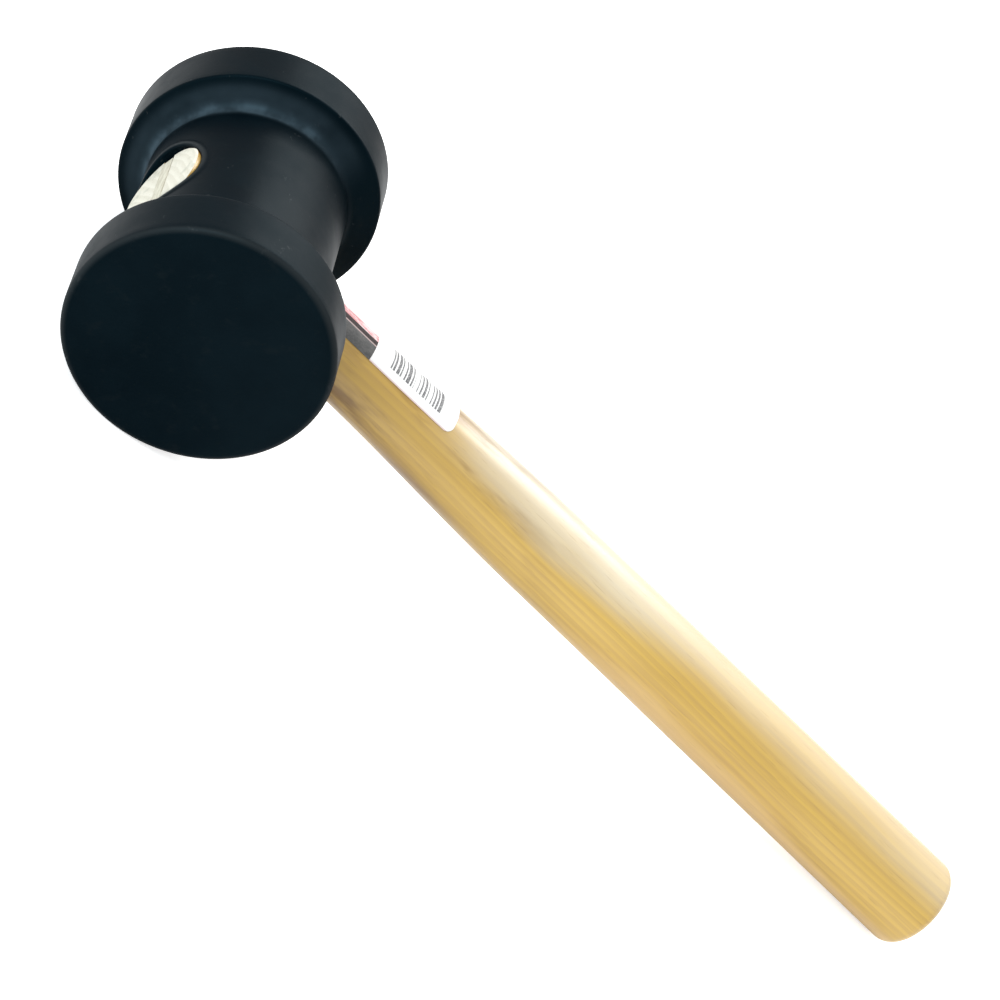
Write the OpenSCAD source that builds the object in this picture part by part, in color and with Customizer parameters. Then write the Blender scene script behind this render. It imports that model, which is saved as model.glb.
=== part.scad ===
// Rubber mallet, lying at rest on both drums of its head and on the butt of its handle.
// The head's axis runs along Y, the handle runs towards +X and dips to the ground, +Z is up.

/* [Head] */
// Diameter of the two striking drums
head_d = 85; // [70:1:100]
// Length of the head between its two striking faces
head_len = 108; // [96:1:130]
// Width of each drum's outer band
rim_w = 19.2; // [14:0.2:24]
// Diameter of the neck between the drums
neck_d = 65.5; // [56:0.5:66]
// How far each shoulder slopes inwards on its way down to the neck
shoulder_slope = 3.6; // [1:0.2:6]
// Rounding of the edges of the striking faces
face_edge_r = 2; // [0.5:0.1:3]
// Rounding of the drums' inner edges
rim_edge_r = 1.2; // [0.5:0.1:2]
// Fillet where a shoulder meets the neck
neck_fillet_r = 3; // [1:0.5:5]

/* [Handle] */
// Distance from the head's axis to the tip of the butt
handle_len = 341; // [280:1:400]
// Diameter of the slim shank beside the head
shank_d = 27; // [24:0.1:29]
// Diameter where the grip begins
grip_d = 32.2; // [29:0.1:34]
// Diameter at the butt
butt_d = 34.8; // [32:0.1:38]
// Where the swell of the grip begins, from the head's axis
swell_start = 55; // [55:1:60]
// Where the swell of the grip ends, from the head's axis
swell_end = 150; // [130:1:180]
// Rounding of the butt's edge
butt_edge_r = 4.5; // [2:0.5:6]
// Radius of the butt's domed end
butt_dome_r = 60; // [40:1:120]

/* [Tenon and wedge] */
// Distance from the head's axis to the tenon's end grain
tenon_len = 30.5; // [29:0.1:33]
// Diameter of the tenon at its end grain
tenon_tip_d = 31.2; // [29.5:0.1:33]
// Chamfer round the end grain
tenon_chamfer = 0.6; // [0.2:0.1:1]
// Depth of the saw kerf
kerf_depth = 44; // [41:1:50]
// Opening of the kerf at the end grain, spread by the wedge
kerf_mouth = 4.6; // [3.5:0.1:5.5]
// Width of the kerf at its bottom
kerf_bottom = 1.6; // [1.2:0.1:2.2]
// Length of the wedge
wedge_len = 40; // [30:1:43]
// Open end of the kerf that the wedge leaves on one side
kerf_gap = 2.5; // [1:0.1:4]

/* [Labels] */
// Thickness of both labels
label_t = 0.3; // [0.2:0.05:0.5]
// Where the maker's label begins, from the head's axis
maker_start = 34.5; // [34:0.1:38]
// Where the barcode label begins, from the head's axis
barcode_start = 54; // [46:0.1:54.5]
// Number of swell steps that the barcode label runs over
barcode_steps = 9; // [6:1:12]
// How far round the handle both labels reach, in degrees
label_wrap = 110; // [60:1:130]
// Direction of the labels' middle, in degrees from straight up towards +Y
label_turn = 19; // [-30:1:60]
// Rounding of the labels' outer corners
label_corner_r = 3; // [1:0.5:4]

/* [Hidden] */
$fn = 128;

head_r = head_d / 2;
half_len = head_len / 2;
neck_r = neck_d / 2;
rim_inner = half_len - rim_w;
neck_half = rim_inner - shoulder_slope;

// The shank keeps the eye's taper until it is just clear of the neck.
shank_start = neck_r + 1;
shank_r = shank_d / 2;
grip_r = grip_d / 2;
butt_r = butt_d / 2;
tenon_tip_r = tenon_tip_d / 2;
eye_slope = (tenon_tip_r - shank_r) / (shank_start + tenon_len);

// Number of straight steps along the swell, round the butt's edge and over half the dome
swell_steps = 24;
edge_steps = 9;
dome_steps = 5;
swell_pitch = (swell_end - swell_start) / swell_steps;

// How far a cut or an outline reaches past what it trims, and how far the kerf starts outside the end grain
past = 10;
clear = 1;

// The butt's edge is a circle tangent inside the dome, whose centre lies on the handle's axis.
edge_centre_r = butt_r - butt_edge_r;
dome_centre_x = handle_len - butt_dome_r;
edge_reach = sqrt(pow(butt_dome_r - butt_edge_r, 2) - pow(edge_centre_r, 2));
edge_centre_x = dome_centre_x + edge_reach;
dome_half_angle = atan2(edge_centre_r, edge_reach);

// The handle dips until the butt's edge is as low as the drums.
edge_drop = head_r - butt_edge_r;
dip = asin(edge_drop / norm([edge_centre_x, edge_centre_r])) - atan2(edge_centre_r, edge_centre_x);

// The origin is on the ground, under the middle of the whole mallet.
butt_far_x = dome_centre_x * cos(dip) + butt_dome_r;
head_x = -(butt_far_x - head_r) / 2;

function smooth(t) = t * t * (3 - 2 * t);
function within(t) = min(1, max(0, t));
function swell_x(step) = swell_start + step * swell_pitch;
function eye_r(x) = shank_r + eye_slope * (shank_start - x);
function swell_part(x) = within((x - swell_start) / (swell_end - swell_start));
function grip_at(x) = shank_r + (grip_r - shank_r) * smooth(swell_part(x));
function unit(v) = v / norm(v);
function on_circle(angle) = [cos(angle), sin(angle)];
function arc(centre, r, from, to, steps) =
    [for (i = [0 : steps]) centre + r * on_circle(from + (to - from) * i / steps)];

// Sliver between a corner at p, with its sides along d1 and d2, and the circle of radius r that rounds it
module corner_sliver(p, d1, d2, r) {
    half_angle = acos(d1 * d2) / 2;
    centre = p + unit(d1 + d2) * r / sin(half_angle);
    along = r / tan(half_angle);
    difference() {
        polygon([p, p + d1 * along, centre, p + d2 * along]);
        translate(centre) circle(r);
    }
}

// Rounded corners of one end of the head, which the other end mirrors
module convex_corners() {
    corner_sliver([head_r, half_len], [-1, 0], [0, -1], face_edge_r);
    corner_sliver([head_r, rim_inner], [0, 1], unit([neck_r - head_r, -shoulder_slope]), rim_edge_r);
}

module neck_fillet() {
    corner_sliver([neck_r, neck_half], [0, -1], unit([head_r - neck_r, shoulder_slope]), neck_fillet_r);
}

// Half section of the head, radius along X and the head's axis along Y
module head_section() {
    difference() {
        union() {
            polygon([
                [0, -half_len], [head_r, -half_len], [head_r, -rim_inner], [neck_r, -neck_half],
                [neck_r, neck_half], [head_r, rim_inner], [head_r, half_len], [0, half_len]
            ]);
            neck_fillet();
            mirror([0, 1]) neck_fillet();
        }
        convex_corners();
        mirror([0, 1]) convex_corners();
    }
}

// Turns a half section, with the distance from the head's axis along X and the radius along Y,
// into a round solid on the handle's axis
module turned(angle = 360, start = 0) {
    rotate([0, 90, 0])
        rotate([0, 0, 180 - start - angle / 2])
            rotate_extrude(angle = angle)
                mirror([1, -1])
                    children();
}

// Places whatever is built along the handle's axis on the ground
module on_handle_axis() {
    translate([head_x, 0, head_r])
        rotate([0, dip, 0])
            children();
}

// Tapered hole for the tenon, open at both sides of the neck
module eye() {
    turned()
        polygon([
            [-neck_r - past, 0], [-neck_r - past, eye_r(-neck_r - past)],
            [neck_r + past, eye_r(neck_r + past)], [neck_r + past, 0]
        ]);
}

module rubber_head() {
    color("#17191b")
        difference() {
            translate([head_x, 0, head_r])
                rotate([90, 0, 0])
                    rotate_extrude()
                        head_section();
            on_handle_axis() eye();
        }
}

// Half section of the tenon, from the end grain to where the shank is clear of the neck
module tenon_section() {
    polygon([
        [-tenon_len, 0], [-tenon_len, tenon_tip_r - tenon_chamfer],
        [-tenon_len + tenon_chamfer, eye_r(-tenon_len + tenon_chamfer)],
        [shank_start, shank_r], [shank_start, 0]
    ]);
}

// Half section of the shank, the swell and the grip, to the tip of the butt
module grip_section() {
    polygon(concat(
        [[shank_start, 0], [shank_start, shank_r]],
        [for (step = [0 : swell_steps]) [swell_x(step), grip_at(swell_x(step))]],
        arc([edge_centre_x, edge_centre_r], butt_edge_r, 90, dome_half_angle, edge_steps),
        arc([dome_centre_x, 0], butt_dome_r, dome_half_angle * (1 - 1 / dome_steps), 0, dome_steps - 1)
    ));
}

function kerf_w(depth) = kerf_mouth + (kerf_bottom - kerf_mouth) * depth / kerf_depth;

// Tapered slice across the tenon, from just outside the end grain to the depth given
module kerf_slice(depth, y_from, y_to) {
    translate([-tenon_len, y_to, 0])
        rotate([90, 0, 0])
            linear_extrude(height = y_to - y_from)
                polygon([
                    [-clear, -kerf_w(-clear) / 2], [depth, -kerf_w(depth) / 2],
                    [depth, kerf_w(depth) / 2], [-clear, kerf_w(-clear) / 2]
                ]);
}

module handle() {
    color("#e2be7a")
        on_handle_axis() {
            difference() {
                turned() tenon_section();
                kerf_slice(kerf_depth, -tenon_tip_d, tenon_tip_d);
            }
            turned() grip_section();
        }
}

module wooden_wedge() {
    color("#d9c193")
        on_handle_axis()
            intersection() {
                kerf_slice(wedge_len, -tenon_tip_d, tenon_tip_r - kerf_gap);
                turned() tenon_section();
            }
}

// Paper shell on the handle between two places, over the swell steps named
module label_shell(from_x, steps) {
    inner = concat(
        [[from_x, grip_at(from_x)]],
        [for (step = steps) [swell_x(step), grip_at(swell_x(step))]]
    );
    outer = [for (i = [len(inner) - 1 : -1 : 0]) inner[i] + [0, label_t]];
    turned(label_wrap, label_turn) polygon(concat(inner, outer));
}

module maker_label() {
    color("#55585a")
        on_handle_axis()
            turned(label_wrap, label_turn)
                polygon([
                    [maker_start, shank_r], [barcode_start, shank_r],
                    [barcode_start, shank_r + label_t], [maker_start, shank_r + label_t]
                ]);
}

// Outline of the barcode label as seen from above it, square beside the maker's label
module barcode_outline() {
    label_end = swell_x(barcode_steps);
    half_w = shank_r * sin(label_wrap / 2);
    translate([barcode_start - past, -butt_r])
        square([label_end - barcode_start + past - label_corner_r, butt_d]);
    translate([label_end - past, -half_w + label_corner_r])
        square([past, 2 * (half_w - label_corner_r)]);
    for (side = [-1, 1])
        translate([label_end - label_corner_r, side * (half_w - label_corner_r)])
            circle(label_corner_r);
}

module barcode_label() {
    color("#f2f1ee")
        on_handle_axis()
            intersection() {
                label_shell(barcode_start, [0 : barcode_steps]);
                rotate([-label_turn, 0, 0])
                    linear_extrude(height = butt_d)
                        barcode_outline();
            }
}

rubber_head();
handle();
wooden_wedge();
maker_label();
barcode_label();
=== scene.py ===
import math

import bmesh
import bpy
from mathutils import Matrix, Quaternion, Vector, noise

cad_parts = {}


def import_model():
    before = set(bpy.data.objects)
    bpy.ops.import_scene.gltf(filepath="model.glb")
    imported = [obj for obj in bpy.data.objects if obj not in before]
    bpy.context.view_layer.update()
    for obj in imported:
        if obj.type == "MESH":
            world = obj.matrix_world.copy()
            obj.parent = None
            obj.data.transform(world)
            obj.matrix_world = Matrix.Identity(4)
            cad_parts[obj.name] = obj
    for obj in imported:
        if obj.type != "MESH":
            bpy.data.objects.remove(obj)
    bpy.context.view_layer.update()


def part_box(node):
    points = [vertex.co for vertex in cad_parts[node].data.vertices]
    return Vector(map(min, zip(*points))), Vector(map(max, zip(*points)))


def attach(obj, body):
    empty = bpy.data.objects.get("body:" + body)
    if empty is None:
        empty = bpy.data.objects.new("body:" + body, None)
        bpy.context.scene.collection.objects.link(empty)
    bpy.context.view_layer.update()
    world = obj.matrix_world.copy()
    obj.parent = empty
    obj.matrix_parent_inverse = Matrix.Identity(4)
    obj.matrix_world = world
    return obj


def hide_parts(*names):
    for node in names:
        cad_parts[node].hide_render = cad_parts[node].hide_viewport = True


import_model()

MM = 0.001
BODY = "root"

# The handle frame: its origin is the head's centre, X runs along the handle, Y along the head.
head_low, head_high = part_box("rubber_head")
HEAD_CENTRE = (head_low + head_high) / 2
HEAD_R = (head_high.z - head_low.z) / 2
HALF_LEN = (head_high.y - head_low.y) / 2

# Head, as in part.scad
NECK_R = 32.75 * MM
RIM_INNER = 34.8 * MM
NECK_HALF = 31.2 * MM
FACE_EDGE_R = 2 * MM
RIM_EDGE_R = 1.2 * MM
NECK_FILLET_R = 3 * MM

# Handle, as in part.scad
HANDLE_LEN = 341 * MM
SHANK_R = 13.5 * MM
SHANK_START = NECK_R + 1 * MM
GRIP_R = 16.1 * MM
BUTT_R = 17.4 * MM
SWELL_START = 55 * MM
SWELL_END = 150 * MM
BUTT_EDGE_R = 4.5 * MM
BUTT_DOME_R = 60 * MM
TENON_LEN = 30.5 * MM
TENON_TIP_R = 15.6 * MM
TENON_CHAMFER = 0.6 * MM
KERF_DEPTH = 44 * MM
KERF_MOUTH = 4.6 * MM
KERF_BOTTOM = 1.6 * MM
WEDGE_LEN = 40 * MM
KERF_GAP = 2.5 * MM
EYE_SLOPE = (TENON_TIP_R - SHANK_R) / (SHANK_START + TENON_LEN)

# Labels, as in part.scad but with thinner paper; angles run from straight up towards +Y
MAKER_START = 34.5 * MM
BARCODE_START = 54 * MM
BARCODE_END = 90.6 * MM
LABEL_LOW_SIDE = math.radians(-36)
LABEL_HIGH_SIDE = math.radians(74)
LABEL_CORNER_R = 3 * MM
PAPER_T = 0.126 * MM

# The butt's edge circle and dome, and how far the handle dips
EDGE_CENTRE_R = BUTT_R - BUTT_EDGE_R
DOME_CENTRE_X = HANDLE_LEN - BUTT_DOME_R
EDGE_REACH = math.sqrt((BUTT_DOME_R - BUTT_EDGE_R) ** 2 - EDGE_CENTRE_R ** 2)
EDGE_CENTRE_X = DOME_CENTRE_X + EDGE_REACH
DOME_HALF_ANGLE = math.atan2(EDGE_CENTRE_R, EDGE_REACH)
DIP = (math.asin((HEAD_R - BUTT_EDGE_R) / math.hypot(EDGE_CENTRE_X, EDGE_CENTRE_R))
       - math.atan2(EDGE_CENTRE_R, EDGE_CENTRE_X))
PLACE = Matrix.Translation(HEAD_CENTRE) @ Matrix.Rotation(DIP, 4, "Y")


def smooth(t):
    t = min(1.0, max(0.0, t))
    return t * t * (3 - 2 * t)


def eye_r(x):
    return SHANK_R + EYE_SLOPE * (SHANK_START - x)


def handle_r(x):
    """Radius of the handle at x, from the end grain to where the butt's edge begins to round."""
    if x < SHANK_START:
        return eye_r(x)
    if x < SWELL_END:
        return SHANK_R + (GRIP_R - SHANK_R) * smooth((x - SWELL_START) / (SWELL_END - SWELL_START))
    return GRIP_R + (BUTT_R - GRIP_R) * (x - SWELL_END) / (EDGE_CENTRE_X - SWELL_END)


# ---------------------------------------------------------------- mesh helpers

ARC_STEPS = 6
SHARP_EDGE = math.radians(40)


def mesh_object(name, verts, faces):
    """A closed mesh in the handle frame, with its normals outwards."""
    mesh = bpy.data.meshes.new(name)
    mesh.from_pydata([tuple(v) for v in verts], [], faces)
    bm = bmesh.new()
    bm.from_mesh(mesh)
    bmesh.ops.remove_doubles(bm, verts=bm.verts, dist=1e-6)
    bmesh.ops.recalc_face_normals(bm, faces=bm.faces)
    bm.to_mesh(mesh)
    bm.free()
    obj = bpy.data.objects.new(name, mesh)
    bpy.context.scene.collection.objects.link(obj)
    return obj


def boolean(obj, tool, operation):
    """Applies a boolean with the tool, which is removed."""
    mod = obj.modifiers.new("cut", "BOOLEAN")
    mod.operation = operation
    mod.solver = "EXACT"
    mod.object = tool
    apply_modifiers(obj)
    bpy.data.objects.remove(tool)


def bevel(obj, width, segments, min_angle):
    mod = obj.modifiers.new("bevel", "BEVEL")
    mod.width = width
    mod.segments = segments
    mod.limit_method = "ANGLE"
    mod.angle_limit = min_angle
    apply_modifiers(obj)


def apply_modifiers(obj):
    graph = bpy.context.evaluated_depsgraph_get()
    made = bpy.data.meshes.new_from_object(obj.evaluated_get(graph))
    obj.modifiers.clear()
    obj.data = made


def finish_piece(obj, materials, node):
    """Puts a piece built in the handle frame in its place, as the stand-in for its CAD node."""
    mesh = obj.data
    mesh.transform(PLACE)
    mesh.polygons.foreach_set("use_smooth", [True] * len(mesh.polygons))
    mesh.set_sharp_from_angle(angle=SHARP_EDGE)
    for material in materials:
        mesh.materials.append(material)
    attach(obj, BODY)
    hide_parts(node)


def rounded(corners):
    """Polyline through corners given as (along, out, rounding), with an arc at each rounded one."""
    path = []
    for i, (along, out, rounding) in enumerate(corners):
        here = Vector((along, out))
        if rounding == 0:
            path.append(here)
            continue
        back = (Vector(corners[i - 1][:2]) - here).normalized()
        ahead = (Vector(corners[i + 1][:2]) - here).normalized()
        half = back.angle(ahead) / 2
        centre = here + (back + ahead).normalized() * rounding / math.sin(half)
        first = here + back * rounding / math.tan(half) - centre
        last = here + ahead * rounding / math.tan(half) - centre
        start = math.atan2(first.y, first.x)
        sweep = math.remainder(math.atan2(last.y, last.x) - start, 2 * math.pi)
        path += arc(centre, rounding, start, start + sweep, ARC_STEPS)
    return path


def resampled(path, pitch):
    """The same polyline with no segment longer than pitch."""
    fine = [path[0]]
    for start, end in zip(path, path[1:]):
        pieces = max(1, math.ceil((end - start).length / pitch))
        fine += [start.lerp(end, k / pieces) for k in range(1, pieces + 1)]
    return fine


def arc(centre, radius, start, end, steps):
    return [Vector(centre) + radius * Vector((math.cos(a), math.sin(a)))
            for a in (start + (end - start) * k / steps for k in range(steps + 1))]


def bridge(faces, first, second):
    """Quads between two closed rings of the same length."""
    n = len(first)
    faces += [(first[k], first[(k + 1) % n], second[(k + 1) % n], second[k]) for k in range(n)]


# ---------------------------------------------------------------- rubber head

COLUMNS = 192
HEAD_PITCH = 2 * MM

# Patch of the neck round each mouth of the eye: half its width in columns, half its length, its rings
PATCH_COLUMNS = 24
PATCH_HALF = 24 * MM
PATCH_RINGS = 12

# Lip round the eye in mm, as (distance off the eye's edge, height above the neck), then the eye's wall
# at three distances from the head's axis, a little wider than the tenon
LIP_PROFILE = [(3.0, 0.0), (2.7, 0.03), (2.3, 0.12), (1.9, 0.24), (1.4, 0.32), (0.9, 0.3),
               (0.5, 0.18), (0.2, -0.04), (0.03, -0.32), (0.03, -0.8), (0.03, -1.5)]
WALL_STATIONS = [26, 18, 6]
EYE_CLEARANCE = 0.03 * MM

# How deep the broad and the fine unevenness of the skin go, and how many of their swings fit a metre
BROAD_DEPTH = 0.09 * MM
BROAD_RATE = 45
FINE_DEPTH = 0.02 * MM
FINE_RATE = 160


def head_rows():
    """Half section of the head as (place along the axis, radius), and its patches' first and last row."""
    half = rounded([
        (PATCH_HALF, NECK_R, 0), (NECK_HALF, NECK_R, NECK_FILLET_R), (RIM_INNER, HEAD_R, RIM_EDGE_R),
        (HALF_LEN, HEAD_R, FACE_EDGE_R), (HALF_LEN, 0, 0),
    ])
    half = resampled(half, HEAD_PITCH)
    steps = 2 * PATCH_COLUMNS
    neck = [Vector((PATCH_HALF * (2 * k / steps - 1), NECK_R)) for k in range(steps + 1)]
    near = [Vector((-p.x, p.y)) for p in reversed(half[1:])]
    return near + neck + half[1:], len(near), len(near) + steps


def head_point(row, column):
    turn = 2 * math.pi * column / COLUMNS
    return Vector((-row.y * math.cos(turn), row.x, row.y * math.sin(turn)))


def in_patch(column):
    """Whether a column of faces lies in the patch on either side of the neck."""
    half_turn = COLUMNS // 2
    return (column + PATCH_COLUMNS) % half_turn < 2 * PATCH_COLUMNS


def neck_surface(y, z, side, lift):
    return Vector((side * (math.sqrt(NECK_R ** 2 - z ** 2) + lift), y, z))


def eye_rim(angle, side, off, lift):
    """Point off the eye's edge, at an angle round the handle's axis, lifted from the neck."""
    reach = TENON_TIP_R
    for _ in range(3):
        reach = eye_r(side * math.sqrt(NECK_R ** 2 - (reach * math.sin(angle)) ** 2))
    reach += off
    return neck_surface(reach * math.cos(angle), reach * math.sin(angle), side, lift)


def eye_patch(verts, faces, outline, side):
    """Closes the neck round one mouth of the eye with rings, a raised lip and the wall behind it."""
    ring = outline
    edge = [verts[i] for i in outline]
    angles = [math.atan2(p.z, p.y) for p in edge]
    lip_off = LIP_PROFILE[0][0] * MM
    foot = [eye_rim(a, side, lip_off, 0) for a in angles]
    levels = []
    for k in range(1, PATCH_RINGS):
        t = k / PATCH_RINGS
        levels.append([neck_surface(p.y + (q.y - p.y) * t, p.z + (q.z - p.z) * t, side, 0)
                       for p, q in zip(edge, foot)])
    for off, lift in LIP_PROFILE:
        levels.append([eye_rim(a, side, off * MM, lift * MM) for a in angles])
    for station in WALL_STATIONS:
        x = side * station * MM
        reach = eye_r(x) + EYE_CLEARANCE
        levels.append([Vector((x, reach * math.cos(a), reach * math.sin(a))) for a in angles])
    for level in levels:
        first = len(verts)
        verts += level
        new = list(range(first, first + len(level)))
        bridge(faces, ring, new)
        ring = new
    return ring


def uneven(p):
    """How far the moulded rubber's skin sinks in at a point."""
    broad = noise.noise(p * BROAD_RATE)
    fine = noise.noise(p * FINE_RATE + Vector((7, 3, 5)))
    return (BROAD_DEPTH * (broad + 1) + FINE_DEPTH * (fine + 1)) / 2


def patch_outline(side, first_row, last_row):
    """Rows and columns of the points round one patch, in order."""
    middle = 0 if side < 0 else COLUMNS // 2
    low, high = middle + side * PATCH_COLUMNS, middle - side * PATCH_COLUMNS
    loop = [(first_row, c) for c in range(low, high, -side)]
    loop += [(j, high) for j in range(first_row, last_row)]
    loop += [(last_row, c) for c in range(high, low, side)]
    loop += [(j, low) for j in range(last_row, first_row, -1)]
    return loop


def rubber_head(material):
    rows, first_row, last_row = head_rows()
    verts, faces, index = [], [], {}
    for j, row in enumerate(rows):
        for i in range(COLUMNS):
            index[j, i] = len(verts)
            verts.append(head_point(row, i))
    for j in range(len(rows) - 1):
        for i in range(COLUMNS):
            if first_row <= j < last_row and in_patch(i):
                continue
            k = (i + 1) % COLUMNS
            faces.append((index[j, i], index[j, k], index[j + 1, k], index[j + 1, i]))
    rings = []
    for side in (-1, 1):
        outline = [index[j, c % COLUMNS] for j, c in patch_outline(side, first_row, last_row)]
        rings.append(eye_patch(verts, faces, outline, side))
    bridge(faces, rings[0], rings[1])
    obj = mesh_object("rubber_head_detail", verts, faces)
    sink_skin(obj)
    finish_piece(obj, [material], "rubber_head")


def sink_skin(obj):
    """Drops the points that no face uses and makes the skin slightly uneven."""
    bm = bmesh.new()
    bm.from_mesh(obj.data)
    bmesh.ops.delete(bm, geom=[v for v in bm.verts if not v.link_faces], context="VERTS")
    bm.normal_update()
    for v in bm.verts:
        v.co -= v.normal * uneven(v.co)
    bm.to_mesh(obj.data)
    bm.free()


# ---------------------------------------------------------------- handle and wedge

HANDLE_COLUMNS = 128
HANDLE_PITCH = 2.5 * MM

# Wear of the grip: how deep it goes, where it begins and over what length it comes in
WEAR_DEPTH = 0.11 * MM
WEAR_START = 95 * MM
WEAR_FADE = 40 * MM

# Wedge: how far it stands out of the kerf, its slack on each broad side, its bevel,
# and how far along the handle the solid that trims it reaches
WEDGE_PROUD = 0.25 * MM
WEDGE_SLACK = 0.11 * MM
WEDGE_BEVEL = 0.18 * MM
TRIM_REACH = 14 * MM


def turned(name, path, columns=HANDLE_COLUMNS, shape=None):
    """Closed solid of a half section turned about the handle's axis."""
    verts, faces, last = [], [], None
    for p in path:
        first = len(verts)
        for k in range(columns):
            a = 2 * math.pi * k / columns
            r = p.y + (shape(p.x, a) if shape and p.y > 0 else 0)
            verts.append(Vector((p.x, r * math.sin(a), r * math.cos(a))))
        ring = list(range(first, first + columns))
        if last:
            bridge(faces, last, ring)
        last = ring
    return mesh_object(name, verts, faces)


def worn(x, angle):
    """How much the sanded grip is off round, always inwards."""
    p = Vector((x * 14, math.sin(angle) * 0.9, math.cos(angle) * 0.9))
    return -WEAR_DEPTH * (noise.noise(p) + 1) * smooth((x - WEAR_START) / WEAR_FADE)


def tenon_path():
    tip, inner = -TENON_LEN, -TENON_LEN + TENON_CHAMFER
    return [Vector((tip, 0)), Vector((tip, TENON_TIP_R / 2)), Vector((tip, TENON_TIP_R - TENON_CHAMFER)),
            Vector((inner, eye_r(inner)))]


def handle_path():
    path = tenon_path()
    between = stations(path[-1].x, EDGE_CENTRE_X, HANDLE_PITCH)[1:-1]
    path += [Vector((x, handle_r(x))) for x in between]
    path += arc((EDGE_CENTRE_X, EDGE_CENTRE_R), BUTT_EDGE_R, math.pi / 2, DOME_HALF_ANGLE, 12)
    path += arc((DOME_CENTRE_X, 0), BUTT_DOME_R, DOME_HALF_ANGLE, 0, 10)[1:]
    return path


def stations(start, end, pitch):
    """Evenly spaced numbers from start to end, about pitch apart."""
    count = max(1, round((end - start) / pitch))
    return [start + (end - start) * k / count for k in range(count + 1)]


def kerf_w(depth):
    return KERF_MOUTH + (KERF_BOTTOM - KERF_MOUTH) * depth / KERF_DEPTH


def slab(name, depth, y_from, y_to, out, trim):
    """Tapered slab in the kerf, from outside the end grain to the depth, trimmed on both broad sides."""
    verts = []
    for d in (-out, depth):
        half = kerf_w(d) / 2 - trim
        for y, z in ((y_from, -half), (y_to, -half), (y_to, half), (y_from, half)):
            verts.append(Vector((d - TENON_LEN, y, z)))
    faces = [(0, 1, 2, 3), (4, 5, 6, 7), (0, 1, 5, 4), (1, 2, 6, 5), (2, 3, 7, 6), (3, 0, 4, 7)]
    return mesh_object(name, verts, faces)


def mark_end_grain(obj):
    """Gives the bare end of the tenon the second material."""
    limit = -TENON_LEN + TENON_CHAMFER
    ends = [face.normal.x < -0.5 and face.center.x < limit for face in obj.data.polygons]
    obj.data.polygons.foreach_set("material_index", [int(end) for end in ends])


def handle(lacquered, bare):
    obj = turned("handle_detail", handle_path(), shape=worn)
    past = 2 * TENON_TIP_R
    boolean(obj, slab("kerf", KERF_DEPTH, -past, past, 1 * MM, 0), "DIFFERENCE")
    obj.data.materials.clear()
    mark_end_grain(obj)
    finish_piece(obj, [lacquered, bare], "handle")


def wooden_wedge(material):
    obj = slab("wedge_detail", WEDGE_LEN, -TENON_TIP_R * 1.5, TENON_TIP_R - KERF_GAP,
               WEDGE_PROUD, WEDGE_SLACK)
    outside = -TENON_LEN - 1 * MM
    outer = [Vector((outside, 0)), Vector((outside, eye_r(-TENON_LEN)))]
    outer += [Vector((x, eye_r(x))) for x in stations(-TENON_LEN, TRIM_REACH, 4 * MM)]
    outer.append(Vector((TRIM_REACH, 0)))
    boolean(obj, turned("limit", outer, columns=96), "INTERSECT")
    bevel(obj, WEDGE_BEVEL, 2, math.radians(50))
    obj.data.materials.clear()
    finish_piece(obj, [material], "wooden_wedge")


# ---------------------------------------------------------------- labels

LABEL_PITCH = 1.5 * MM
CORNER_ANGLES = 8

# Lift of the paper: how high, and how far it reaches in from the sides and from the far edge
CURL_LIFT = 0.08 * MM
CURL_FROM_SIDE = 5 * MM
CURL_FROM_END = 6 * MM


def label_middle():
    return (LABEL_LOW_SIDE + LABEL_HIGH_SIDE) / 2


def side_distance(x, angle):
    """Distance round the handle from a label's nearer side."""
    return min(angle - LABEL_LOW_SIDE, LABEL_HIGH_SIDE - angle) * handle_r(x)


def label_point(x, angle, lift):
    r = handle_r(x) + lift
    return Vector((x, r * math.sin(angle), r * math.cos(angle)))


def barcode_far_edge(angle):
    """Where the barcode label ends, with both outer corners rounded."""
    short = max(0.0, LABEL_CORNER_R - side_distance(BARCODE_END, angle))
    return BARCODE_END - LABEL_CORNER_R + math.sqrt(max(0.0, LABEL_CORNER_R ** 2 - short ** 2))


def label_angles():
    """Angles across a label, closer together near its two sides."""
    r = handle_r(BARCODE_START)
    side = [LABEL_CORNER_R * (1 - math.cos(math.pi / 2 * k / CORNER_ANGLES)) / r
            for k in range(CORNER_ANGLES + 1)]
    low = [LABEL_LOW_SIDE + s for s in side]
    high = [LABEL_HIGH_SIDE - s for s in reversed(side)]
    middle = stations(low[-1], high[0], math.radians(2))
    return low[:-1] + middle + high[1:]


def curl(x, angle, far_x):
    """How far the paper has come away from the wood, most at its corners."""
    reach = math.hypot(max(0, 1 - side_distance(x, angle) / CURL_FROM_SIDE),
                       max(0, 1 - (far_x - x) / CURL_FROM_END))
    return CURL_LIFT * smooth(reach - 0.25)


def label(name, start, far_edge, material, node):
    """Paper shell on the handle, from start to the far edge, which depends on the angle."""
    angles = label_angles()
    count = max(2, round((far_edge(label_middle()) - start) / LABEL_PITCH))
    verts, faces = [], []
    for lift in (PAPER_T, 0.0):
        for a in angles:
            end = far_edge(a)
            for k in range(count + 1):
                x = start + (end - start) * k / count
                verts.append(label_point(x, a, lift + curl(x, a, end)))
    n, rows = count + 1, len(angles)
    size = n * rows
    for j in range(rows - 1):
        for k in range(count):
            a, b = j * n + k, (j + 1) * n + k
            faces.append((a, a + 1, b + 1, b))
            faces.append((size + a, size + b, size + b + 1, size + a + 1))
    rim = list(range(n)) + [j * n + count for j in range(1, rows)]
    rim += [(rows - 1) * n + k for k in range(count - 1, -1, -1)]
    rim += [j * n for j in range(rows - 2, 0, -1)]
    bridge(faces, rim, [size + i for i in rim])
    obj = mesh_object(name, verts, faces)
    finish_piece(obj, [material], node)


# ---------------------------------------------------------------- materials

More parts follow.
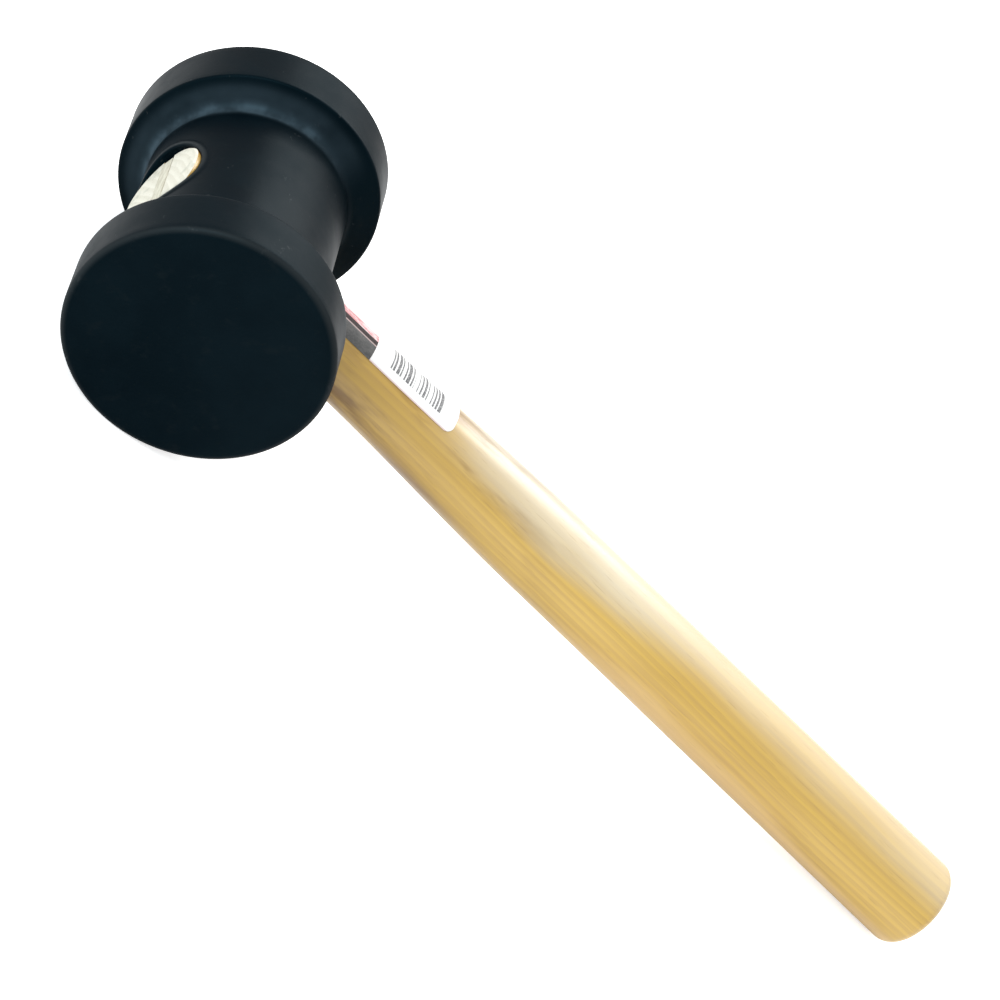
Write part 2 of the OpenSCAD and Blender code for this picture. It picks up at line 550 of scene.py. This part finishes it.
class Nodes:
    """Short calls for building a material's node tree."""

    def __init__(self, name):
        self.material = bpy.data.materials.new(name)
        self.material.use_nodes = True
        self.tree = self.material.node_tree
        self.shader = self.tree.nodes["Principled BSDF"]

    def add(self, kind, **settings):
        node = self.tree.nodes.new(kind)
        for key, value in settings.items():
            setattr(node, key, value)
        return node

    def put(self, value, socket):
        """Links an output to a socket, or writes a plain value in it."""
        if isinstance(value, bpy.types.NodeSocket):
            self.tree.links.new(value, socket)
        else:
            socket.default_value = value

    def math(self, operation, a, b=0.0):
        node = self.add("ShaderNodeMath", operation=operation)
        self.put(a, node.inputs[0])
        self.put(b, node.inputs[1])
        return node.outputs[0]

    def times(self, a, b):
        return self.math("MULTIPLY", a, b)

    def plus(self, a, b):
        return self.math("ADD", a, b)

    def place(self):
        """Coordinates in the handle frame, in metres."""
        where = self.add("ShaderNodeTexCoord").outputs["Object"]
        mapping = self.add("ShaderNodeMapping", vector_type="TEXTURE")
        self.put(where, mapping.inputs["Vector"])
        mapping.inputs["Location"].default_value = HEAD_CENTRE
        mapping.inputs["Rotation"].default_value = (0, DIP, 0)
        return mapping.outputs[0]

    def scaled(self, vector, scale, shift=(0, 0, 0)):
        mapping = self.add("ShaderNodeMapping")
        self.put(vector, mapping.inputs["Vector"])
        mapping.inputs["Scale"].default_value = scale
        mapping.inputs["Location"].default_value = shift
        return mapping.outputs[0]

    def split(self, vector):
        node = self.add("ShaderNodeSeparateXYZ")
        self.put(vector, node.inputs[0])
        return node.outputs

    def noise(self, vector, scale=1.0, detail=2.0, rough=0.5):
        node = self.add("ShaderNodeTexNoise")
        self.put(vector, node.inputs["Vector"])
        node.inputs["Scale"].default_value = scale
        node.inputs["Detail"].default_value = detail
        node.inputs["Roughness"].default_value = rough
        return node.outputs["Fac"]

    def band(self, value, low, high, soft):
        """1 between low and high, fading to 0 over soft on both sides."""
        rise = self.ramped(value, low - soft / 2, low + soft / 2)
        fall = self.ramped(value, high + soft / 2, high - soft / 2)
        return self.math("MULTIPLY", rise, fall)

    def ramped(self, value, start, end, low=0.0, high=1.0):
        """low before start, high after end, and smooth between them."""
        node = self.add("ShaderNodeMapRange", interpolation_type="SMOOTHSTEP", clamp=True)
        for item, socket in zip((value, start, end, low, high), node.inputs):
            self.put(item, socket)
        return node.outputs[0]

    def mix(self, factor, a, b):
        node = self.add("ShaderNodeMix", data_type="RGBA")
        self.put(factor, node.inputs["Factor"])
        self.put(colour(a), node.inputs[6])
        self.put(colour(b), node.inputs[7])
        return node.outputs[2]

    def bump(self, height, strength, distance):
        node = self.add("ShaderNodeBump")
        self.put(height, node.inputs["Height"])
        node.inputs["Strength"].default_value = strength
        node.inputs["Distance"].default_value = distance
        self.put(node.outputs[0], self.shader.inputs["Normal"])

    def wire(self, **values):
        for key, value in values.items():
            self.put(colour(value), self.shader.inputs[key.replace("_", " ")])


def colour(value):
    """A plain colour gets its alpha; anything else is passed on."""
    return (*value, 1.0) if isinstance(value, tuple) and len(value) == 3 else value


# Linear colours
RUBBER_DEEP = (0.0003, 0.0020, 0.0036)
RUBBER_LIGHT = (0.0009, 0.0034, 0.0054)
RUBBER_SCUFF = (0.004, 0.006, 0.0072)
RUBBER_SPECK = (0.030, 0.033, 0.034)
RUBBER_WORN = (0.032, 0.035, 0.036)
RUBBER_BLOOM_AND_LIGHT = (0.015, 0.0235, 0.030)
RUBBER_DUST_AND_HIGHLIGHT = (0.040, 0.062, 0.078)
RUBBER_LIP_HIGHLIGHT = (0.036, 0.040, 0.041)
RUBBER_SHEEN = (0.35, 0.8, 1.0, 1.0)
WOOD_GOLD = (0.515, 0.315, 0.046)
WOOD_STRAW = (0.575, 0.368, 0.070)
WOOD_RING = (0.36, 0.21, 0.07)
WOOD_STREAK = (0.29, 0.165, 0.055)
WOOD_FIBRE = (0.34, 0.20, 0.07)
WOOD_SAP_AND_HIGHLIGHT = (0.60, 0.55, 0.44)
WOOD_SHADE_BELOW = (0.20, 0.12, 0.045)
WOOD_REFLECTION_BELOW = (0.68, 0.46, 0.22)
WOOD_FIGURE_AND_SHADE = (0.175, 0.084, 0.011)
WOOD_PORE = (0.24, 0.135, 0.045)
END_GRAIN_PALE = (0.62, 0.595, 0.51)
END_GRAIN_RING = (0.46, 0.43, 0.34)
END_GRAIN_STAIN = (0.30, 0.31, 0.25)
END_GRAIN_FLECK = (0.33, 0.28, 0.19)
WEDGE_PALE = (0.56, 0.535, 0.44)
WEDGE_LINE = (0.43, 0.40, 0.31)
WEDGE_FLECK = (0.32, 0.29, 0.21)
PAPER_FIBRE = (0.35, 0.34, 0.33)
PAPER_WHITE = (0.72, 0.715, 0.705)
PAPER_PALE = (0.66, 0.64, 0.63)
PAPER_EDGE_SHADOW = (0.60, 0.46, 0.45)
INK_CHARCOAL = (0.066, 0.066, 0.066)
INK_CHARCOAL_RUBBED = (0.098, 0.096, 0.093)
INK_ROSE = (0.50, 0.20, 0.21)
INK_ROSE_RUBBED = (0.62, 0.50, 0.50)
INK_THIN_LINE = (0.36, 0.27, 0.26)
INK_MAROON = (0.012, 0.002, 0.003)
INK_BAR = (0.05, 0.05, 0.055)

GROWTH_RING = 2.6 * MM

# Bars of the barcode label: the three groups and the pitch along the handle, in mm
BAR_GROUPS = [(61.4, 71.5), (73.0, 77.5), (79.0, 84.4)]
BAR_PITCH = 1.45


def length(n, a, b):
    """Distance from the axis that a and b are measured from."""
    return n.math("SQRT", n.plus(n.math("POWER", a, 2.0), n.math("POWER", b, 2.0)))


def rubber_material():
    n = Nodes("black_rubber")
    p = n.place()
    x, y, z = n.split(p)
    out = length(n, x, z)
    along = n.math("ABSOLUTE", y)
    mottle = n.noise(p, 38, 3, 0.6)
    scuff = n.ramped(n.noise(n.scaled(p, (1, 2.4, 1)), 150, 5, 0.7), 0.56, 0.74)
    base = n.mix(n.ramped(mottle, 0.35, 0.65), RUBBER_DEEP, RUBBER_LIGHT)
    base = n.mix(n.times(scuff, 0.45), base, RUBBER_SCUFF)
    base = n.mix(rubber_specks(n, p, along), base, RUBBER_SPECK)
    edge = n.times(n.ramped(out, HEAD_R - 2.4 * MM, HEAD_R - 0.3 * MM),
                   n.ramped(along, HALF_LEN - 2.2 * MM, HALF_LEN - 0.6 * MM))
    base = n.mix(n.times(edge, n.ramped(scuff, 0.0, 1.0, 0.45, 1.0)), base, RUBBER_WORN)
    # partly bloom, partly painted light on the shoulders, with painted shade on the handle side
    base = n.mix(shoulder_bloom_and_light(n, x, along, out, mottle), base, RUBBER_BLOOM_AND_LIGHT)
    # dust and a painted highlight along the fillets beside the neck
    base = n.mix(fillet_dust_and_highlight(n, p, x, along), base, RUBBER_DUST_AND_HIGHLIGHT)
    # painted highlight on the lip round the eye
    lip_highlight = n.times(n.ramped(length(n, y, z), TENON_TIP_R + 3.2 * MM, TENON_TIP_R + 2 * MM),
                  n.ramped(out, NECK_R + 0.05 * MM, NECK_R + 0.4 * MM))
    base = n.mix(n.times(lip_highlight, 0.8), base, RUBBER_LIP_HIGHLIGHT)
    n.wire(Base_Color=base, Roughness=n.ramped(mottle, 0.3, 0.7, 0.38, 0.5))
    n.shader.inputs["Specular IOR Level"].default_value = 0.052
    n.shader.inputs["Specular Tint"].default_value = RUBBER_SHEEN
    grain = n.noise(p, 1900, 2, 0.6)
    n.bump(n.plus(n.times(grain, 0.35), n.noise(p, 260, 3, 0.5)), 0.25, 0.12 * MM)
    return n.material


def rubber_specks(n, p, along):
    """Small pale specks, everywhere but on the striking faces."""
    specks = n.ramped(n.noise(n.scaled(p, (1, 0.6, 1)), 300, 3, 0.65), 0.67, 0.73)
    off_face = n.ramped(along, HALF_LEN - 0.5 * MM, HALF_LEN - 2 * MM)
    return n.times(specks, n.times(off_face, 0.5))


def shoulder_bloom_and_light(n, x, along, out, mottle):
    """Grey bloom with painted light in the two shoulders, on the side away from the handle; left off
    towards the handle as painted shade.
    """
    recess = n.times(n.band(along, NECK_HALF - 3 * MM, RIM_INNER - 0.8 * MM, 2.4 * MM),
                     n.ramped(out, HEAD_R - 0.4 * MM, HEAD_R - 4 * MM))
    # fades out towards the handle: painted shade where the neck's shadow falls
    recess = n.times(recess, n.ramped(x, 22 * MM, 2 * MM))
    return n.times(recess, n.ramped(mottle, 0.3, 0.62, 0.35, 0.9))


def fillet_dust_and_highlight(n, p, x, along):
    """Patchy dust and painted highlight in the fillets beside the neck, on the side away from the handle.
    """
    dust = n.times(n.band(along, NECK_HALF - 2.4 * MM, NECK_HALF + 0.6 * MM, 1.6 * MM),
                   n.ramped(x, 14 * MM, -6 * MM))
    return n.times(dust, n.ramped(n.noise(p, 90, 3, 0.6), 0.4, 0.62, 0.15, 0.8))


def ring_shade(n, p):
    """Growth rings round a pith outside the handle, 0 to 1."""
    bend = n.noise(n.scaled(p, (5, 26, 26)), 1, 2, 0.5)
    x, y, z = n.split(p)
    reach = length(n, n.plus(y, 38 * MM), n.plus(z, 52 * MM))
    reach = n.plus(reach, n.times(bend, 9 * MM))
    turn = n.math("FRACT", n.math("DIVIDE", reach, GROWTH_RING))
    return n.times(n.ramped(turn, 0.0, 0.78), n.ramped(turn, 1.0, 0.86))


def lacquered_wood():
    n = Nodes("lacquered_hardwood")
    p = n.place()
    rings = ring_shade(n, p)
    fibre = n.noise(n.scaled(p, (14, 700, 700)), 1, 4, 0.6)
    streak = n.noise(n.scaled(p, (6, 120, 120), (3, 1, 2)), 1, 3, 0.55)
    cloud = n.noise(n.scaled(p, (9, 30, 30)), 1, 2, 0.5)
    tone = n.mix(n.ramped(cloud, 0.35, 0.65), WOOD_GOLD, WOOD_STRAW)
    tone = n.mix(n.times(rings, 0.3), tone, WOOD_RING)
    tone = n.mix(n.ramped(streak, 0.56, 0.74, 0.0, 0.4), tone, WOOD_STREAK)
    tone = n.mix(n.ramped(fibre, 0.45, 0.75, 0.0, 0.3), tone, WOOD_FIBRE)
    tone = flank_tones(n, p, tone, cloud, streak)
    pores = n.noise(n.scaled(p, (90, 2600, 2600)), 1, 1, 0.5)
    tone = n.mix(n.ramped(pores, 0.66, 0.74, 0.0, 0.28), tone, WOOD_PORE)
    n.wire(Base_Color=tone, Roughness=n.ramped(fibre, 0.3, 0.7, 0.34, 0.46))
    n.shader.inputs["Coat Weight"].default_value = 0.45
    n.shader.inputs["Coat Roughness"].default_value = 0.2
    n.shader.inputs["Coat IOR"].default_value = 1.5
    n.bump(n.plus(fibre, n.times(rings, 0.6)), 0.22, 0.08 * MM)
    return n.material


def flank_tones(n, p, tone, cloud, streak):
    """Sapwood with a painted highlight on the upper flank, painted shade on the underside near the head,
    a painted floor reflection on the underside further along, and brown figure with painted shade near
    the head.
    """
    x, y, z = n.split(p)
    flank = n.plus(n.times(y, 0.5), n.times(z, 0.87))
    flank = n.plus(flank, n.times(n.math("SUBTRACT", cloud, 0.5), 22 * MM))
    flank = n.plus(flank, n.times(n.math("SUBTRACT", streak, 0.5), 8 * MM))
    # paler sapwood with a painted highlight on the upper flank
    sapwood_and_highlight = n.times(n.ramped(flank, 1 * MM, 14.5 * MM), n.ramped(x, 130 * MM, 260 * MM, 0.85, 0.4))
    tone = n.mix(n.times(sapwood_and_highlight, n.ramped(x, 70 * MM, 110 * MM)), tone, WOOD_SAP_AND_HIGHLIGHT)
    # painted shade on the underside, darkest near the head
    below = n.times(n.ramped(flank, -10 * MM, -15 * MM), n.ramped(x, 90 * MM, 190 * MM, 0.75, 0.05))
    tone = n.mix(below, tone, WOOD_SHADE_BELOW)
    # painted reflection of the floor on the underside, away from the head
    reflection_below = n.times(n.ramped(flank, -9 * MM, -15 * MM), n.ramped(x, 150 * MM, 210 * MM, 0.0, 0.55))
    tone = n.mix(reflection_below, tone, WOOD_REFLECTION_BELOW)
    # brown figure with painted shade, strongest towards the head
    near_head = n.ramped(x, 175 * MM, 65 * MM)
    wave = n.noise(n.scaled(p, (15, 85, 85), (1, 4, 2)), 1, 4, 0.62)
    figure_and_shade = n.times(n.times(near_head, n.ramped(wave, 0.43, 0.6, 0.3, 1.0)), 0.95)
    return n.mix(figure_and_shade, tone, WOOD_FIGURE_AND_SHADE)


def end_grain_wood():
    n = Nodes("bare_end_grain")
    p = n.place()
    rings = ring_shade(n, p)
    fleck = n.noise(n.scaled(p, (60, 1500, 1500)), 1, 3, 0.6)
    stain = n.noise(n.scaled(p, (40, 170, 260)), 1, 3, 0.55)
    tone = n.mix(n.times(rings, 0.4), END_GRAIN_PALE, END_GRAIN_RING)
    tone = n.mix(n.ramped(stain, 0.52, 0.72, 0.0, 0.5), tone, END_GRAIN_STAIN)
    tone = n.mix(n.ramped(fleck, 0.55, 0.75, 0.0, 0.4), tone, END_GRAIN_FLECK)
    n.wire(Base_Color=tone, Roughness=n.ramped(fleck, 0.3, 0.7, 0.72, 0.88))
    n.bump(n.plus(fleck, rings), 0.35, 0.15 * MM)
    return n.material


def wedge_wood():
    n = Nodes("wedge_wood")
    p = n.place()
    lines = n.noise(n.scaled(p, (30, 160, 900)), 1, 3, 0.6)
    fleck = n.noise(n.scaled(p, (60, 1800, 1800)), 1, 2, 0.6)
    tone = n.mix(n.ramped(lines, 0.35, 0.65), WEDGE_PALE, WEDGE_LINE)
    tone = n.mix(n.ramped(fleck, 0.55, 0.75, 0.0, 0.35), tone, WEDGE_FLECK)
    n.wire(Base_Color=tone, Roughness=n.ramped(fleck, 0.3, 0.7, 0.7, 0.85))
    n.bump(n.plus(lines, fleck), 0.3, 0.12 * MM)
    return n.material


def around(n, p):
    """Place along the handle in mm, and angle from straight up towards +Y in degrees."""
    x, y, z = n.split(p)
    turn = n.times(n.math("ARCTAN2", y, z), 180 / math.pi)
    return n.math("DIVIDE", x, MM), turn


def paper_finish(n, p, tone, roughness):
    fibres = n.noise(p, 1400, 3, 0.7)
    n.wire(Base_Color=n.mix(n.ramped(fibres, 0.4, 0.7, 0.0, 0.08), tone, PAPER_FIBRE),
           Roughness=n.ramped(fibres, 0.3, 0.7, roughness - 0.06, roughness + 0.06))
    n.shader.inputs["Specular IOR Level"].default_value = 0.12
    n.bump(fibres, 0.12, 0.05 * MM)


def maker_paper():
    n = Nodes("maker_label_paper")
    p = n.place()
    turn = around(n, p)[1]
    rub = n.noise(n.scaled(p, (300, 700, 700)), 1, 3, 0.6)
    tone = n.mix(n.ramped(rub, 0.4, 0.7), INK_CHARCOAL, INK_CHARCOAL_RUBBED)
    rose = n.mix(n.ramped(rub, 0.42, 0.6), INK_ROSE_RUBBED, INK_ROSE)
    tone = n.mix(n.band(turn, -4.0, 10.0, 1.0), tone, rose)
    tone = n.mix(n.band(turn, 10.0, 90.0, 2.0), tone, PAPER_PALE)
    tone = n.mix(n.band(turn, -13.2, -11.2, 0.8), tone, INK_THIN_LINE)
    tone = n.mix(n.band(turn, -11.0, -3.0, 0.8), tone, INK_MAROON)
    paper_finish(n, p, tone, 0.5)
    return n.material


def bar_ink(n, p, x, turn):
    """Three groups of uneven bars that encode nothing, where the ink has partly rubbed off."""
    groups = 0.0
    for start, end in BAR_GROUPS:
        groups = n.math("MAXIMUM", groups, n.band(x, start, end, 0.2))
    uneven_pitch = n.noise(n.scaled(p, (420, 0, 0)), 1, 2, 0.8)
    step = n.plus(n.math("DIVIDE", x, BAR_PITCH), n.times(uneven_pitch, 1.8))
    step = n.math("FRACT", step)
    bars = n.times(n.ramped(step, 0.0, 0.06), n.ramped(step, 0.7, 0.58))
    ink = n.times(n.times(groups, bars), n.band(turn, -22.0, 40.0, 0.8))
    return n.times(ink, n.ramped(n.noise(p, 2200, 2, 0.6), 0.3, 0.6, 0.6, 0.95))


def barcode_paper():
    n = Nodes("barcode_label_paper")
    p = n.place()
    x, turn = around(n, p)
    # painted shadow along the paper's lower edge
    tone = n.mix(n.band(turn, -36.0, -34.2, 1.2), PAPER_WHITE, PAPER_EDGE_SHADOW)
    tone = n.mix(bar_ink(n, p, x, turn), tone, INK_BAR)
    paper_finish(n, p, tone, 0.45)
    return n.material


# ---------------------------------------------------------------- stage, light and camera

FLOOR_HALF = 6.0
FLOOR_GLOW = 0.6
FLOOR_DARK = (0.93, 0.93, 0.93)
FLOOR_LIGHT = (0.95, 0.95, 0.95)
WORLD_STRENGTH = 0.95
WHITE = (1.0, 1.0, 1.0)

# Softboxes as offsets from the head's centre in metres: name, place, aim, width, height, watts, tint
SOFT_LIGHTS = [
    ("top_back", (0.22, 0.7, 0.8), (0.15, 0, 0), 0.9, 0.7, 12.5, (1.0, 0.99, 0.98)),
    ("left_front", (-0.65, -0.6, 0.6), (0.0, 0, 0), 0.5, 0.5, 7, (0.8, 0.93, 1.0)),
]

# The camera's direction from what it aims at in degrees, its turn about its own axis,
# the point it aims at as an offset from the head's centre, and its distance from there
CAMERA_AZIMUTH = -23.0
CAMERA_ELEVATION = 30.19
CAMERA_ROLL = 51.85
CAMERA_AIM = Vector((123.09, -0.11, -6.88)) * MM
CAMERA_DISTANCE = 1290.9 * MM
CAMERA_LENS = 144
CAMERA_SENSOR = 36


def floor():
    """Plain floor that looks white to the camera and is clear from below."""
    half = FLOOR_HALF
    obj = mesh_object("floor", [(-half, -half, 0), (half, -half, 0), (half, half, 0), (-half, half, 0)],
                      [(0, 1, 2, 3)])
    n = Nodes("pale_floor")
    tint = n.noise(n.add("ShaderNodeTexCoord").outputs["Object"], 6, 2, 0.5)
    n.wire(Base_Color=n.mix(tint, FLOOR_DARK, FLOOR_LIGHT), Roughness=0.85)
    glow = n.times(n.add("ShaderNodeLightPath").outputs["Is Camera Ray"], FLOOR_GLOW)
    n.wire(Emission_Color=WHITE, Emission_Strength=glow)
    below = n.add("ShaderNodeNewGeometry").outputs["Backfacing"]
    n.wire(Alpha=n.math("SUBTRACT", 1.0, below))
    n.shader.inputs["Specular IOR Level"].default_value = 0.1
    obj.data.materials.append(n.material)


def soft_light(name, place, aim, width, height, power, tint):
    """Rectangular softbox at place, facing aim."""
    data = bpy.data.lights.new(name, "AREA")
    data.shape = "RECTANGLE"
    data.size = width
    data.size_y = height
    data.energy = power
    data.color = tint
    obj = bpy.data.objects.new(name, data)
    bpy.context.scene.collection.objects.link(obj)
    obj.location = HEAD_CENTRE + Vector(place)
    obj.rotation_euler = (Vector(place) - Vector(aim)).to_track_quat("Z", "Y").to_euler()
    obj.visible_camera = False


def world():
    made = bpy.data.worlds.new("studio")
    made.use_nodes = True
    back = made.node_tree.nodes["Background"]
    back.inputs["Color"].default_value = colour(WHITE)
    back.inputs["Strength"].default_value = WORLD_STRENGTH
    bpy.context.scene.world = made


def camera():
    azimuth, elevation = math.radians(CAMERA_AZIMUTH), math.radians(CAMERA_ELEVATION)
    back = Vector((math.sin(azimuth) * math.cos(elevation), -math.cos(azimuth) * math.cos(elevation),
                   math.sin(elevation)))
    data = bpy.data.cameras.new("camera")
    data.lens = CAMERA_LENS
    data.sensor_width = CAMERA_SENSOR
    data.clip_end = 20
    obj = bpy.data.objects.new("camera", data)
    bpy.context.scene.collection.objects.link(obj)
    turn = back.to_track_quat("Z", "Y") @ Quaternion((0, 0, 1), math.radians(CAMERA_ROLL))
    where = HEAD_CENTRE + CAMERA_AIM + back * CAMERA_DISTANCE
    obj.matrix_world = Matrix.Translation(where) @ turn.to_matrix().to_4x4()
    bpy.context.scene.camera = obj


rubber_head(rubber_material())
handle(lacquered_wood(), end_grain_wood())
wooden_wedge(wedge_wood())
label("maker_label_detail", MAKER_START, lambda a: BARCODE_START - 0.1 * MM, maker_paper(),
      "maker_label")
label("barcode_label_detail", BARCODE_START, barcode_far_edge, barcode_paper(),
      "barcode_label")
floor()
world()
for settings in SOFT_LIGHTS:
    soft_light(*settings)
camera()
bpy.context.scene.view_settings.view_transform = "Standard"
